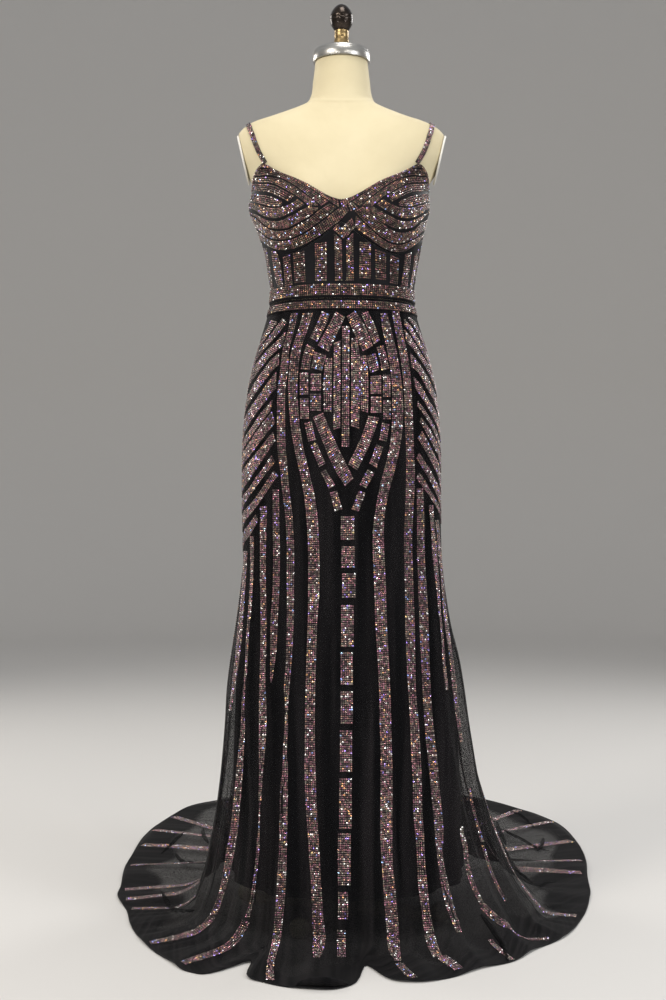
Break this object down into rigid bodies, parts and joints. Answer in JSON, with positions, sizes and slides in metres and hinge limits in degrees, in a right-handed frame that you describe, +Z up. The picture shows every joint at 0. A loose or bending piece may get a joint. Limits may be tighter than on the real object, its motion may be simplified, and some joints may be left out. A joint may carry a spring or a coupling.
{
  "type": "sequined sheath prom dress on a limbless dress form",
  "caption": "Black floor-length sheath gown with stone-banded mesh over a lining and a short train, worn by a limbless dress form on a stand.",
  "frame": {"origin": "centre of the stand hub's underside on the floor, on the axis of the pole", "axes": "+Z up along the pole, -Y out of the dress's front, +X to the right in a front view"},
  "size_m": [1.0451, 1.7383, 1.7861],
  "materials": {
    "form_cover": "matte woven cover",
    "arm_plate": "smooth",
    "steel": "brushed",
    "brass": "aged",
    "dark_bronze": "polished",
    "cream_paint": "satin",
    "black_tulle": "sheer net",
    "black_lining": "satin lining",
    "stone_trim": "stone set"
  },
  "bodies": {
    "root": {"form_body": "form_cover", "form_arm_plate_left": "arm_plate", "form_arm_plate_right": "arm_plate", "form_neck_cap": "steel", "form_collar": "brass", "form_knob": "dark_bronze", "stand_hub": "cream_paint", "stand_pole": "steel", "cup_left": "black_tulle", "cup_right": "black_tulle", "midriff_front": "black_tulle", "bodice_back_left": "black_tulle", "bodice_back_right": "black_tulle", "waistband_upper": "stone_trim", "waistband_lower": "stone_trim", "strap_left": "stone_trim", "strap_right": "stone_trim", "skirt_front": "black_tulle", "skirt_back_left": "black_tulle", "skirt_back_right": "black_tulle", "lining_front": "black_lining", "lining_back": "black_lining", "stand_leg_1": "cream_paint", "stand_foot_1": "cream_paint", "stand_leg_2": "cream_paint", "stand_foot_2": "cream_paint", "stand_leg_3": "cream_paint", "stand_foot_3": "cream_paint", "stand_leg_4": "cream_paint", "stand_foot_4": "cream_paint"}
  },
  "joints": []
}
